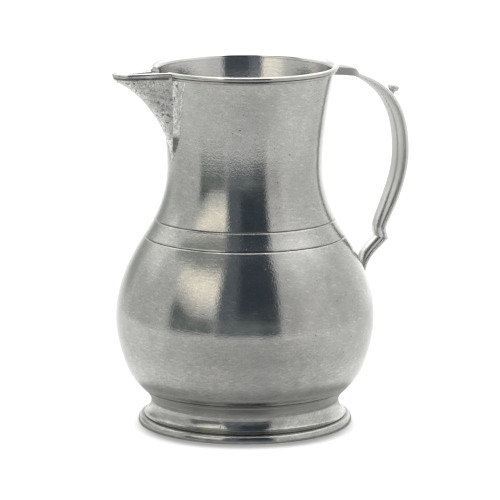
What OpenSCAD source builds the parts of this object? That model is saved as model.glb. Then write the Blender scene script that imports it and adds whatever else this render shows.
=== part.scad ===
// Pewter pitcher: a cast neck and bowl soldered into one body, on a foot ring,
// with a beak spout let into the neck and a strap handle behind it.
// The axis of the body is Z, the table is z = 0, the handle points along +X and the spout along -X.

/* [Body] */
// Height from the table to the top of the rim
jug_h = 216; // [200:1:236]
// Thickness of the cast wall of the neck and the bowl
wall = 2; // [1.6:0.1:2.6]
// Diameter of the belly at its widest
belly_d = 155.2; // [148:0.2:172]
// Height of the widest part of the belly
belly_z = 64; // [58:1:72]
// Diameter of the haunch, where the bowl turns up from the foot
haunch_d = 142.8; // [134:0.2:146]
// Height of the haunch
haunch_z = 35; // [31:0.5:40]
// Diameter of the bowl where it stands on the foot
seat_d = 124.6; // [119:0.2:130]
// Diameter of the body at the shoulder seam
shoulder_d = 120.2; // [114:0.2:128]
// Height of the shoulder seam
shoulder_z = 113.8; // [106:0.2:120]
// Diameter of the neck at its narrowest
neck_d = 92.8; // [88:0.2:98]
// Height of the narrowest part of the neck
neck_z = 155; // [146:1:164]
// Diameter of the neck just under the rim
mouth_d = 106.3; // [102:0.1:112]

/* [Rim] */
// Outer diameter of the rim bead
rim_d = 111.6; // [110.2:0.2:118]
// Thickness of the rim bead
rim_bead_d = 2.7; // [2.2:0.1:3.2]
// Thickness of the small fillet turned under the rim bead
rim_fillet_d = 1.7; // [1.2:0.1:2.2]
// Height over which the inside of the mouth rounds over to the rim
lip_round_h = 2.6; // [1.6:0.1:3.6]

/* [Turned lines] */
// Width of each line turned into the shoulder
line_w = 1; // [0.6:0.1:1.6]
// Depth of each line
line_depth = 0.5; // [0.3:0.1:0.8]
// Height of the upper line
upper_line_z = 124.3; // [121:0.1:132]

/* [Foot] */
// Height of the foot ring
foot_h = 21.9; // [20:0.1:25]
// Diameter of the foot ring at its edge
foot_d = 128.6; // [126:0.2:136]
// Thickness of the cast wall of the foot ring
foot_wall = 2.4; // [2:0.1:3]
// Diameter of the foot ring at its waist
waist_d = 113; // [108:0.2:116]
// Height of the waist
waist_z = 13.2; // [12:0.1:15]
// Height of the upright edge of the foot flange
foot_edge_h = 1.5; // [1:0.1:2.2]
// Height of the foot flange
flange_h = 4.8; // [4:0.1:6]
// Width of the ring that the foot rests on
rest_w = 3.4; // [2.4:0.1:5]
// Height of the step between the flange and the hollow above it
flange_step_h = 0.8; // [0.5:0.1:1.2]
// Height of the narrow band turned at the top of the foot ring
foot_band_h = 1.5; // [1.1:0.1:2.4]

/* [Base] */
// Thickness of the base disc
disc_t = 2.2; // [1.6:0.1:3]
// Height of the disc above the foot ring
disc_rise = 0.6; // [0.4:0.1:1.5]

/* [Spout] */
// Height of the spout from its lower point to the rim
spout_h = 54.3; // [46:0.1:58]
// Width of the spout where it meets the neck at the rim
spout_w = 31; // [26:0.2:36]
// Width of the rounded lower point of the spout
spout_foot_w = 3; // [2:0.1:5]
// Thickness of the lower point where it lies on the neck
spout_foot_t = 0.6; // [0.4:0.1:1]
// Distance from the axis to the tip of the beak, without its bead
spout_reach = 82; // [76:0.1:92]
// Thickness of the spout wall
spout_wall = 1.9; // [1.5:0.1:2.4]
// Drop of the lip from the rim to the tip of the beak
lip_drop = 0.9; // [0.3:0.1:3]
// How far the bead of the lip stands out from the spout wall
lip_bead_out = 1.6; // [1.5:0.1:2.4]

/* [Handle] */
// Width of the strap
strap_w = 13.6; // [11:0.1:17]
// Thickness of the strap at its edges
strap_t = 2.2; // [1.6:0.1:2.8]
// Crown of the outer face of the strap
strap_crown = 0.4; // [0.2:0.1:0.8]
// Width of the rounded keel on the inner face
keel_w = 9.4; // [7:0.1:10.5]
// Depth of the keel
keel_depth = 4.6; // [3:0.1:5.5]
// Drop from the rim to the top of the block, beside the rim
block_drop = 3.1; // [2.6:0.1:6]
// Fall of the block's top from the rim to its outer end
block_fall = 1.6; // [0.5:0.1:2.5]
// Distance from the axis to the outer end of the block's top
block_reach = 69.3; // [65:0.1:72]
// Thickness of the block
block_t = 4.9; // [4:0.1:6]
// Distance from the axis to the start of the strap, at the foot of the block's step
strap_reach = 72.5; // [70:0.1:76]
// Drop from the rim to the strap at the foot of the block's step
strap_drop = 8.3; // [7:0.1:10]
// Distance from the axis to the outer face of the strap at the grip
grip_reach = 104.9; // [98:0.1:116]
// Height of the widest part of the grip
grip_z = 158.9; // [146:0.1:168]
// Distance from the axis to the strap where it straightens above the bend
ankle_reach = 90.2; // [87:0.1:96]
// Height at which the strap straightens
ankle_z = 111.6; // [110:0.1:116]
// Distance from the axis to the outer corner of the bend
bend_reach = 91.6; // [89:0.1:98]
// Height of the outer corner of the bend
bend_z = 105.6; // [102:0.1:107]
// Height of the lower end of the handle on the belly
leg_foot_z = 81.1; // [74:0.1:86]
// Thickness of the lower end of the handle
leg_foot_t = 0.9; // [0.7:0.1:1.4]
// Diameter of the thumb bud
bud_d = 7.2; // [5.5:0.1:9]
// Height of the thumb bud
bud_h = 4.6; // [3.4:0.1:5.6]
// Diameter of the bud's stem
bud_stem_d = 3.4; // [2.4:0.1:4.2]
// Distance from the strap to the middle of the bud
bud_rise = 5; // [3.6:0.1:6.5]

/* [Seams] */
// Clearance between soldered pieces
seam_gap = 0.15; // [0.1:0.05:0.2]
// Width of the solder in the shoulder seam and round the base disc
solder_w = 1.6; // [1.2:0.1:2]
// Width of the solder that is wiped along the spout, at the rim
spout_solder_w = 8.5; // [5:0.1:11]
// Width of that solder round the lower point
spout_solder_foot_w = 3; // [2:0.1:4.5]
// Height of that solder on the spout wall
spout_solder_h = 1.8; // [1.2:0.1:2.4]
// Width of the solder wiped round the lower end of the handle
leg_solder_w = 2.6; // [2:0.1:3.4]
// Height of that solder beside the strap
leg_solder_h = 1.2; // [0.8:0.1:1.6]

/* [Hidden] */
$fn = 96;
pewter = "#9c9d9a";
pewter_dark = "#8a8c8a";
pewter_light = "#aaaba7";
solder_grey = "#c2c3c0";
// Room that a cut runs past what it cuts
overrun = 1;
// Steps along each stretch of the turned outline, round each small arc, along each level of the
// spout and up its height, and along each curve of the strap
outline_steps = 14;
arc_steps = 8;
beak_steps = 9;
rise_steps = 14;
strap_steps = 14;

// Turned outline of the body: height, outer radius and slope at each level.
// The slopes are shares of the mean slope of the stretch that they belong to.
seat_slope_share = 3.1;
haunch_slope_share = 1.02;
shoulder_slope_share = 1.9;
mouth_slope_share = 1.45;
rim_foot_z = jug_h - rim_bead_d - rim_fillet_d;
bowl_slope = (belly_d - seat_d) / 2 / (belly_z - foot_h);
body_slope = (neck_d - belly_d) / 2 / (neck_z - belly_z);
mouth_slope = mouth_slope_share * (mouth_d - neck_d) / 2 / (rim_foot_z - neck_z);
LEVELS = [
    [waist_z, waist_d / 2, 0],
    [foot_h, seat_d / 2, seat_slope_share * bowl_slope],
    [haunch_z, haunch_d / 2, haunch_slope_share * bowl_slope],
    [belly_z, belly_d / 2, 0],
    [shoulder_z, shoulder_d / 2, shoulder_slope_share * body_slope],
    [neck_z, neck_d / 2, 0],
    [rim_foot_z, mouth_d / 2, mouth_slope]
];

// Stretch of the outline that holds a height
function stretch(z) = max([for (i = [0 : len(LEVELS) - 2]) if (i == 0 || z >= LEVELS[i][0]) i]);

// Cubic through two levels with their slopes, and its own slope
function cubic(t, h, a, b) =
    (1 + 2 * t) * (1 - t) ^ 2 * a[1] + t * (1 - t) ^ 2 * h * a[2]
    + t ^ 2 * (3 - 2 * t) * b[1] + t ^ 2 * (t - 1) * h * b[2];
function cubic_slope(t, h, a, b) =
    6 * t * (t - 1) * (a[1] - b[1]) / h + (1 - t) * (1 - 3 * t) * a[2] + t * (3 * t - 2) * b[2];

// Outer radius of the body at a height, its slope there, and the inner radius behind the wall
function outer_r(z) =
    z > rim_foot_z ? mouth_d / 2 + mouth_slope * (z - rim_foot_z) :
    let (i = stretch(z), a = LEVELS[i], b = LEVELS[i + 1], h = b[0] - a[0])
    cubic((z - a[0]) / h, h, a, b);
function outer_slope(z) =
    z > rim_foot_z ? mouth_slope :
    let (i = stretch(z), a = LEVELS[i], b = LEVELS[i + 1], h = b[0] - a[0])
    cubic_slope((z - a[0]) / h, h, a, b);
function inner_r(z, t = wall) = outer_r(z) - t * sqrt(1 + outer_slope(z) ^ 2);

// Even steps from one value to another, and points of the outline at such heights
function steps(from, to, n) = [for (i = [0 : n]) from + (to - from) * i / n];
function outside(from, to, n = outline_steps) = [for (z = steps(from, to, n)) [outer_r(z), z]];
function inside(from, to, t = wall, n = outline_steps) = [for (z = steps(from, to, n)) [inner_r(z, t), z]];

// Arc of an ellipse in the outline, from one angle to another
function arc(r, z, rx, rz, from, to, n = arc_steps) =
    [for (a = steps(from, to, n)) [r + rx * cos(a), z + rz * sin(a)]];

// Skin that the spout, the handle and their solder lie on: the body with the seam's clearance
function skin_r(z) = outer_r(z) + seam_gap;
function on_skin(y, z, r) = sqrt(r ^ 2 - y ^ 2);

// Point of a cubic curve, and its direction
function curve(p, t) =
    (1 - t) ^ 3 * p[0] + 3 * t * (1 - t) ^ 2 * p[1] + 3 * t ^ 2 * (1 - t) * p[2] + t ^ 3 * p[3];
function heading(p, t) =
    let (d = (1 - t) ^ 2 * (p[1] - p[0]) + 2 * t * (1 - t) * (p[2] - p[1]) + t ^ 2 * (p[3] - p[2]))
    d / norm(d);

// Solid skinned over rings that all have the same number of points. Each ring runs clockwise as
// seen from ahead, and strips between its opposite points close the two ends.
module skinned(rings) {
    n = len(rings[0]);
    last = (len(rings) - 1) * n;
    sides = [for (k = [0 : n : last - n], i = [0 : n - 1])
        let (a = k + i, b = k + (i + 1) % n)
        each [[a, b, b + n], [a, b + n, a + n]]];
    foot = [for (i = [0 : n / 2 - 2]) each [[i, n - 1 - i, n - 2 - i], [i, n - 2 - i, i + 1]]];
    head = [for (i = [0 : n / 2 - 2]) each
        [[last + i, last + i + 1, last + n - 2 - i], [last + i, last + n - 2 - i, last + n - 1 - i]]];
    polyhedron(points = [for (ring = rings) each ring], faces = concat(sides, foot, head));
}

// The same points on the other side of the middle plane, and rings carried on over that plane
function across(points) = [for (p = points) [p[0], -p[1], p[2]]];
function backwards(list) = [for (i = [len(list) - 1 : -1 : 0]) list[i]];
function carried_over(rings) =
    concat(rings, [for (i = [len(rings) - 2 : -1 : 0]) across(rings[i])]);

// Point on the skin of the body, and one ring of wiped solder: a on the skin at the edge of the
// piece, b on the skin at the outer edge of the solder, c up the side of the piece
function skin_point(y, z) = [on_skin(y, z, skin_r(z)), y, z];
hollow_share = 0.3;
function wiped(a, b, c) = [c, hollow_share * a + (1 - hollow_share) * (b + c) / 2, b, a];

// Upper casting: the shoulder, the neck and the turned rim, cut open behind the spout
neck_foot_z = shoulder_z + seam_gap / 2;
rim_bead_r = rim_bead_d / 2;
rim_fillet_r = rim_fillet_d / 2;
bead_centre_r = rim_d / 2 - rim_bead_r;
fillet_centre_r = outer_r(rim_foot_z) + rim_fillet_r / 3;
lip_foot_z = jug_h - lip_round_h;

module neck() {
    outline = concat(
        [[outer_r(neck_foot_z) - line_depth, neck_foot_z]],
        outside(neck_foot_z + line_w / 2, upper_line_z - line_w / 2),
        [[outer_r(upper_line_z) - line_depth, upper_line_z]],
        outside(upper_line_z + line_w / 2, rim_foot_z, 2 * outline_steps),
        arc(fillet_centre_r, rim_foot_z + rim_fillet_r, rim_fillet_r, rim_fillet_r, -80, 80),
        arc(bead_centre_r, jug_h - rim_bead_r, rim_bead_r, rim_bead_r, -80, 90),
        arc(bead_centre_r, lip_foot_z, bead_centre_r - inner_r(lip_foot_z), lip_round_h, 100, 180),
        inside(lip_foot_z - line_w, neck_foot_z + solder_w, wall, 2 * outline_steps),
        [[inner_r(neck_foot_z) + solder_w / 2, neck_foot_z]]
    );
    color(pewter)
    difference() {
        rotate_extrude() polygon(outline);
        rotate([90, 0, -90]) linear_extrude(rim_d) polygon(channel_mouth);
    }
}

// Lower casting: the belly, open above at the shoulder and below at the base disc
bowl_foot_z = foot_h + seam_gap;
bowl_head_z = shoulder_z - seam_gap / 2;

module bowl() {
    outline = concat(
        [[outer_r(bowl_foot_z) - line_depth, bowl_foot_z]],
        outside(bowl_foot_z + line_w / 2, haunch_z),
        outside(haunch_z + line_w, belly_z),
        outside(belly_z + line_w, bowl_head_z - line_w / 2),
        [[outer_r(bowl_head_z) - line_depth, bowl_head_z]],
        [[inner_r(bowl_head_z) + solder_w / 2, bowl_head_z]],
        inside(bowl_head_z - solder_w, belly_z),
        inside(belly_z - line_w, haunch_z),
        inside(haunch_z - line_w, bowl_foot_z)
    );
    color(pewter) rotate_extrude() polygon(outline);
}

// Disc that closes the bowl: its bevelled edge seats on the flare of the bowl's inner wall
disc_z = foot_h + disc_rise;
disc_top_z = disc_z + disc_t;

module base_disc() {
    edge = [for (z = [disc_z, disc_top_z]) [inner_r(z) - seam_gap, z]];
    color(pewter_dark) rotate_extrude() polygon([[0, disc_z], edge[0], edge[1], [0, disc_top_z]]);
}

// Hollow foot: a flange on the table, a step, a turned hollow up to the waist and a flared top
foot_r = foot_d / 2;
waist_r = waist_d / 2;
rest_r = foot_r - rest_w;
edge_round = foot_edge_h / 3;
// Widths of the flange's slope and of the ledge above its crease, as shares of the foot's hollow
flange_share = 0.38;
ledge_share = 0.56;
flange_in_r = foot_r - flange_share * (foot_r - waist_r);
ledge_r = waist_r + ledge_share * (foot_r - waist_r);
crease_r = ledge_r - flange_step_h / 2;
ledge_z = flange_h + flange_step_h;

module foot_ring() {
    hollow_in_r = waist_r - foot_wall;
    band_z = foot_h - foot_band_h;
    outline = concat(
        [[foot_r - edge_round, 0], [foot_r, edge_round]],
        arc(flange_in_r, foot_edge_h, foot_r - flange_in_r, flange_h - foot_edge_h, 0, 90),
        [[crease_r, flange_h - flange_step_h / 3], [ledge_r, ledge_z]],
        [for (a = steps(80, 0, arc_steps))
            [waist_r + (ledge_r - waist_r) * (1 - cos(a)), waist_z - (waist_z - ledge_z) * sin(a)]],
        outside(waist_z + line_w / 2, band_z - line_w / 3, arc_steps),
        [[outer_r(band_z) - line_depth / 2, band_z]],
        outside(band_z + line_w / 3, foot_h - line_w / 3, 2),
        [[outer_r(foot_h) - line_depth, foot_h]],
        inside(foot_h, waist_z, foot_wall, arc_steps),
        [for (a = steps(10, 90, arc_steps))
            [hollow_in_r + (rest_r - hollow_in_r) * (1 - cos(a)), waist_z * (1 - sin(a))]]
    );
    color(pewter) rotate_extrude() polygon(outline);
}

// Solder in the groove inside the shoulder seam
module shoulder_solder() {
    root_r = inner_r(shoulder_z) + solder_w / 2 - 2 * seam_gap;
    height = solder_w - 2 * seam_gap;
    color(solder_grey) rotate_extrude() polygon([
        [root_r, shoulder_z],
        [inner_r(shoulder_z + height), shoulder_z + height],
        [inner_r(shoulder_z - height), shoulder_z - height]
    ]);
}

// Solder wiped into the corner above the base disc
module base_solder() {
    z = disc_top_z + seam_gap;
    corner_r = inner_r(z) - seam_gap;
    mid_z = z + solder_w / 3;
    color(solder_grey) rotate_extrude() polygon([
        [corner_r - solder_w, z],
        [corner_r, z],
        [inner_r(z + solder_w) - seam_gap, z + solder_w],
        [inner_r(mid_z) - seam_gap - solder_w / 3, mid_z]
    ]);
}

// Solder under the base disc that holds the foot ring
module foot_solder() {
    z = disc_z - seam_gap;
    corner_r = inner_r(foot_h, foot_wall) - seam_gap;
    low_z = foot_h - solder_w;
    color(solder_grey) rotate_extrude() polygon([
        [corner_r, z],
        [corner_r - solder_w, z],
        [inner_r(low_z, foot_wall) - seam_gap - solder_w / 3, low_z],
        [inner_r(low_z, foot_wall) - seam_gap, low_z],
        [corner_r, foot_h]
    ]);
}

// Beak spout, drawn towards +X and turned round. A rise runs from 0 at the lower point to 1 at the
// rim and gives each level its width at the neck and its reach from the axis. The outline of a
// level, in plan, is a curve from the skin of the neck to the tip.
spout_foot_z = jug_h - spout_h;
spout_head_z = rim_foot_z - 2 * seam_gap;
rim_seat_r = rim_d / 2 + seam_gap;
bead_shift = lip_bead_out - rim_bead_r;
tip_reach = spout_reach - mouth_d / 2 - spout_foot_t;
// Pulls of the curve, as shares of the level's reach and width
side_pull_share = 0.52;
side_width_share = 0.73;
tip_width_share = 0.6;
// Height at which the channel starts, as a share of the spout's height
channel_foot_share = 0.25;
// Growth of the lip's bead towards the tip, as a share of its height
tip_swell_share = 1.45;
// Power of the rise that the keel of the beak sweeps out with
sweep_power = 1.9;
// Step of the search for the place where a curve leaves the rim
search_share = 0.005;

function rise_of(z) = (z - spout_foot_z) / spout_h;
function spout_w_at(z) = (spout_foot_w + rise_of(z) * (spout_w - spout_foot_w)) / 2;
function reach(z) = outer_r(z) + spout_foot_t + tip_reach * rise_of(z) ^ sweep_power;
function reach_slope(z) =
    outer_slope(z) + sweep_power * tip_reach * rise_of(z) ^ (sweep_power - 1) / spout_h;
function channel_w(z) = let (w = spout_w_at(z)) max(w / 2, w - spout_wall);
function channel_reach(z) = max(skin_r(z), reach(z) - spout_wall * sqrt(1 + reach_slope(z) ^ 2));

// Curve of a level, and the place on it that clears the neck or, higher up, the bead of the rim
function beak(z, w, tip) =
    let (root = on_skin(w, z, skin_r(z)))
    [[root, w], [root + side_pull_share * (tip - root), side_width_share * w],
     [tip, tip_width_share * w], [tip, 0]];
function leaves(pull, r, t = 0) =
    norm(curve(pull, t)) > r ? t : leaves(pull, r, t + search_share);
function beak_from(z, pull) = leaves(pull, z > rim_foot_z - 1.5 * seam_gap ? rim_seat_r : outer_r(z));

// How near a point is to the tip, the level of the lip there and the swelling of its bead
function nearness(x) = max(0, x - rim_seat_r) / (spout_reach - rim_seat_r);
function lip_z(x) = jug_h - lip_drop * nearness(x) ^ 2;
function swell(x) = 1 + tip_swell_share * nearness(x) ^ 2;

// Half of a level's outline from the neck to the tip. The bead grows it outwards, and the rounding
// of the lip leans the inner face outwards. The wall below is squeezed under the sinking lip.
function beak_half(z, wall_share, below, w, tip, out, lean) =
    let (pull = beak(z, w, tip), from = beak_from(z, pull))
    [for (t = steps(from, 1, beak_steps))
        let (p = curve(pull, t), d = heading(pull, t),
             grow = t == from ? 0 : out + lean * (spout_wall + bead_shift),
             sunk = (swell(p[0]) - 1) * min(below, rim_bead_d),
             top = lip_z(p[0]) - below - sunk)
        [p[0] - grow * d[1], p[1] + grow * d[0], spout_foot_z + wall_share * (top - spout_foot_z)]];

// Whole level: along the outer face to the tip and back to the neck, then along the channel
function beak_level(z, wall_share, below, out = 0, lean = 0) =
    let (outer = beak_half(z, wall_share, below, spout_w_at(z), reach(z), out, 0),
         inner = beak_half(z, wall_share, below, channel_w(z), channel_reach(z), 0, lean))
    concat(outer, [for (i = [beak_steps - 1 : -1 : 0]) across([outer[i]])[0]],
        across(inner), [for (i = [beak_steps - 1 : -1 : 0]) inner[i]]);

// Opening in the neck behind the spout, as wide as the channel
channel_foot_z = spout_foot_z + channel_foot_share * spout_h;
function channel_edge(z) = beak_half(z, 1, 0, channel_w(z), channel_reach(z), 0, 0)[0][1];
channel_side = [
    [channel_w(channel_foot_z), channel_foot_z],
    [channel_edge(spout_head_z), spout_head_z],
    [channel_edge(spout_head_z + seam_gap), spout_head_z + seam_gap],
    [channel_edge(jug_h), jug_h],
    [channel_edge(jug_h), jug_h + overrun]
];
channel_mouth = concat(channel_side, backwards([for (p = channel_side) [-p[0], p[1]]]));

module spout() {
    head_drop = jug_h - spout_head_z;
    walls = [for (s = steps(0, 1, rise_steps))
        beak_level(spout_foot_z + s * (spout_head_z - spout_foot_z), s, head_drop)];
    necks = [for (below = [head_drop - seam_gap, (head_drop + rim_bead_d) / 2])
        beak_level(jug_h - below, 1, below)];
    beads = [for (a = [-90, -60, -30, 0, 30, 60, 82])
        let (below = rim_bead_r * (1 - sin(a)), lean = max(0, 1 - below / lip_round_h))
        beak_level(jug_h - below, 1, below, bead_shift + rim_bead_r * cos(a), 1 - sqrt(1 - lean ^ 2))];
    color(pewter_dark) rotate(180) skinned(concat(walls, necks, beads));
}

// Solder wiped along both sides of the spout and round its lower point
module spout_solder() {
    seat_y = spout_foot_w / 2 + seam_gap;
    sides = [for (z = steps(spout_head_z, spout_foot_z, rise_steps))
        let (y = spout_w_at(z) + seam_gap,
             pull = beak(z, spout_w_at(z), reach(z)),
             h = spout_foot_t + rise_of(z) * (spout_solder_h - spout_foot_t),
             width = spout_solder_foot_w + rise_of(z) * (spout_solder_w - spout_solder_foot_w),
             t = min(0.3, h / 3 / norm(pull[1] - pull[0])),
             p = curve(pull, t), d = heading(pull, t))
        wiped(skin_point(y, z), skin_point(y + width, z),
            [p[0] - seam_gap * d[1], p[1] + seam_gap * d[0], z])];
    foot = [for (a = steps(90 / arc_steps, 90, arc_steps - 1))
        let (root = skin_point(seat_y * cos(a), spout_foot_z - seam_gap * sin(a)))
        wiped(root,
            skin_point((seat_y + spout_solder_foot_w) * cos(a),
                spout_foot_z - (seam_gap + spout_solder_foot_w) * sin(a)),
            root + [spout_foot_t - seam_gap, 0, 0])];
    color(solder_grey) rotate(180) skinned(carried_over(concat(sides, foot)));
}

// Strap handle, cast in one with its block and bud. The outer face runs along four curves: the
// shoulder down to the grip, the back down to the ankle, the flare to the bend, and the lower leg.
block_z = jug_h - block_drop;
block_end_z = block_z - block_fall;
strap_z = jug_h - strap_drop;
leg_foot_x = on_skin(strap_w / 2, leg_foot_z, skin_r(leg_foot_z)) + leg_foot_t;
// Slopes of the strap at the block, at the end of the flare and at the start of the leg, in degrees
shoulder_slope = 18.5;
flare_slope = 74;
leg_slope = 51;
// Pulls of the curves, as shares of the height of each stretch
shoulder_pull_share = 0.53;
grip_pull_share = 0.48;
back_pull_share = 0.49;
ankle_pull_share = 0.09;
flare_pull_share = 0.3;
leg_pull_share = 0.36;
leg_foot_pull_share = 0.62;
// Depth of the keel along the curves, 0 at the block and 4 at the lower end, as a share of its depth
keel_shares = [
    [0, 0.03], [0.2, 0.42], [0.35, 0.62], [0.5, 0.86], [0.8, 1], [1.5, 1], [2, 0.8], [3.6, 0.75], [4, 0.05]
];

function falling(x, z, slope, arm) = [x + arm * cos(slope), z - arm * sin(slope)];
function strap_curve(ax, az, a_slope, a_share, bx, bz, b_slope, b_share) =
    let (h = az - bz)
    [[ax, az], falling(ax, az, a_slope, a_share * h), falling(bx, bz, b_slope, -b_share * h), [bx, bz]];
strap_curves = [
    strap_curve(strap_reach, strap_z, shoulder_slope, shoulder_pull_share,
        grip_reach, grip_z, 90, grip_pull_share),
    strap_curve(grip_reach, grip_z, 90, back_pull_share, ankle_reach, ankle_z, 90, ankle_pull_share),
    strap_curve(ankle_reach, ankle_z, 90, flare_pull_share, bend_reach, bend_z, flare_slope, flare_pull_share),
    strap_curve(bend_reach, bend_z, 180 - leg_slope, leg_pull_share,
        leg_foot_x, leg_foot_z, 90, leg_foot_pull_share)
];

// Half of the strap's section, from the crown of its outer face round its edge to the keel, as
// distances from the middle plane and from the outer face at the strap's edge
edge_share = 0.25;
function section_half(t, keel, crown) = concat(
    [for (s = [0.15, 0.5, 0.8]) [s * strap_w / 2, -crown * (1 - s ^ 2)]],
    [[strap_w / 2, edge_share * t], [strap_w / 2, (1 - edge_share) * t]],
    [[(strap_w / 2 + keel_w / 2) / 2, t]],
    [for (a = [0, 25, 50, 75]) [keel_w / 2 * cos(a), t + keel * sin(a)]]
);

// Ring of the handle at a point, with the inward direction that its depths are laid along
function strap_ring(x, z, inward, t, keel, crown) =
    let (half = [for (p = section_half(t, keel, crown)) [x + p[1] * inward[0], p[0], z + p[1] * inward[1]]])
    concat(half, backwards(across(half)));

// Places the points of a ring on the neck, or lifts them off the belly where they would sink in
function neck_seat_r(z) =
    z > rim_foot_z - rim_fillet_r ? fillet_centre_r + rim_fillet_r + seam_gap : skin_r(z);
function on_neck(ring) = [for (p = ring) [on_skin(p[1], p[2], neck_seat_r(p[2])), p[1], p[2]]];
function off_belly(ring) =
    [for (p = ring) [max(p[0], on_skin(p[1], p[2], skin_r(p[2]))), p[1], p[2]]];

// Rings along one curve; the last of them is left to the next curve
function strap_rings(k) =
    [for (i = [0 : strap_steps - 1])
        let (t = i / strap_steps, p = curve(strap_curves[k], t), d = heading(strap_curves[k], t),
             mitre = k == 3 && i == 0, before = heading(strap_curves[2], 1),
             mean = mitre ? (d + before) / (1 + d * before) : d,
             thick = k < 3 ? strap_t : strap_t + t * (leg_foot_t - strap_t))
        off_belly(strap_ring(p[0], p[1], [mean[1], -mean[0]], thick,
            keel_depth * lookup(k + t, keel_shares), strap_crown))];

module handle() {
    down = [0, -1];
    block_keel = keel_depth * keel_shares[0][1];
    block = [
        on_neck(strap_ring(bead_centre_r, block_z, down, block_t, block_keel, 0)),
        strap_ring(block_reach, block_end_z, down, block_t, block_keel, strap_crown / 2)
    ];
    leg_foot = off_belly(strap_ring(leg_foot_x, leg_foot_z, [-1, 0], leg_foot_t,
        keel_depth * keel_shares[8][1], strap_crown));
    color(pewter) {
        skinned(concat(block, [for (k = [0 : 3]) each strap_rings(k)], [leg_foot]));
        translate([bud_seat[0], 0, bud_seat[1]]) rotate([0, shoulder_slope, 0]) skinned(concat(
            [bud_ring([bud_stem_d / 2, -strap_t / 2])],
            [for (p = arc(0, bud_rise, bud_d / 2, bud_h / 2, -60, 80)) bud_ring(p)]));
    }
}

// Seat of the thumb bud, on the outer face of the shoulder, and a ring of it at a radius and height
bud_at_share = 0.43;
bud_seat = curve(strap_curves[0], bud_at_share);
bud_sides = 20;
function bud_ring(p) =
    [for (i = [0 : bud_sides - 1]) let (a = -360 * i / bud_sides) [p[0] * cos(a), p[0] * sin(a), p[1]]];

// Solder wiped under the block and up both of its sides
module handle_top_solder() {
    edge_y = strap_w / 2;
    low_z = block_z - block_t;
    lift = solder_w * [1, 0, -block_fall / (block_reach - neck_seat_r(block_z))];
    sides = [for (z = steps(spout_head_z, low_z, arc_steps))
        let (root = skin_point(edge_y + seam_gap, z))
        wiped(root, skin_point(edge_y + seam_gap + solder_w, z), root + lift)];
    corner = [for (a = steps(90 / arc_steps, 90, arc_steps - 1))
        let (root = skin_point(edge_y + seam_gap * cos(a), low_z - 2 * seam_gap * sin(a)))
        wiped(root, skin_point(edge_y + (seam_gap + solder_w) * cos(a),
            low_z - (2 * seam_gap + solder_w) * sin(a)), root + lift)];
    under = [for (y = steps(edge_y * (1 - 1 / arc_steps), 0, arc_steps - 1))
        let (root = skin_point(y, low_z - 2 * seam_gap))
        wiped(root, skin_point(y, low_z - 2 * seam_gap - solder_w), root + lift)];
    color(solder_grey) skinned(carried_over(concat(sides, corner, under)));
}

// Solder wiped up both sides of the leg's lower end and round below it
module handle_foot_solder() {
    edge_y = strap_w / 2;
    head_z = leg_foot_z + 2 * leg_solder_w;
    lift = [leg_solder_h, 0, 0];
    sides = [for (z = steps(head_z, leg_foot_z, arc_steps))
        let (root = skin_point(edge_y + seam_gap, z))
        wiped(root, skin_point(edge_y + seam_gap + leg_solder_w, z), root + lift)];
    corner = [for (a = steps(90 / arc_steps, 90, arc_steps - 1))
        let (root = skin_point(edge_y + seam_gap * cos(a), leg_foot_z - seam_gap * sin(a)))
        wiped(root, skin_point(edge_y + (seam_gap + leg_solder_w) * cos(a),
            leg_foot_z - (seam_gap + leg_solder_w) * sin(a)), root + lift)];
    under = [for (y = steps(edge_y * (1 - 1 / arc_steps), 0, arc_steps - 1))
        let (root = skin_point(y, leg_foot_z - seam_gap))
        wiped(root, skin_point(y, leg_foot_z - seam_gap - leg_solder_w), root + lift)];
    color(solder_grey) skinned(carried_over(concat(sides, corner, under)));
}

neck();
bowl();
base_disc();
foot_ring();
spout();
handle();
shoulder_solder();
base_solder();
foot_solder();
spout_solder();
handle_top_solder();
handle_foot_solder();
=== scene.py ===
import math

import bmesh
import bpy
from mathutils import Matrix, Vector, noise


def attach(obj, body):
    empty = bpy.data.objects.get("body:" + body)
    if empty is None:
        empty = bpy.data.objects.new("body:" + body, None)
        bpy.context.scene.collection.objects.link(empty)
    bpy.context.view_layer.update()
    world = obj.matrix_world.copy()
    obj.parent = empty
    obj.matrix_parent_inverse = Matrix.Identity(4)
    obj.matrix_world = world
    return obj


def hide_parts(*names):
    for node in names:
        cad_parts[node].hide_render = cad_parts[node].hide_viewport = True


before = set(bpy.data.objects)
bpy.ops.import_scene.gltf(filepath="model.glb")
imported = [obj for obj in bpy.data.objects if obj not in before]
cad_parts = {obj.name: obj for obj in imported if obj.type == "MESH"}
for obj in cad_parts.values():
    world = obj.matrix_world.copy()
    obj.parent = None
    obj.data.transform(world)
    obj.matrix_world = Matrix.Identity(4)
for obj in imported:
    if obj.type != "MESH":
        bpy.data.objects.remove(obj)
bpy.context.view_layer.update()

# The photograph's view
# A long lens from about two metres away, a little to the spout's side of the front, looking down
# enough to show the far side of the mouth.
view_turn, look_down = math.radians(22.5), math.radians(10.925)
lens_away, lens_height = 2.11, 0.511
front = Vector((-math.sin(view_turn), -math.cos(view_turn), 0))
right = Vector((math.cos(view_turn), -math.sin(view_turn), 0))
lens = bpy.data.cameras.new("long_lens")
lens.lens = 258.04
lens.shift_x = 0.0102
lens.shift_y = 0.001
camera = bpy.data.objects.new("camera", lens)
camera.location = front * lens_away + Vector((0, 0, lens_height))
camera.rotation_euler = (math.pi / 2 - look_down, 0, -view_turn)
bpy.context.scene.collection.objects.link(camera)
bpy.context.scene.camera = camera
bpy.context.scene.view_settings.view_transform = "Standard"


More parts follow.
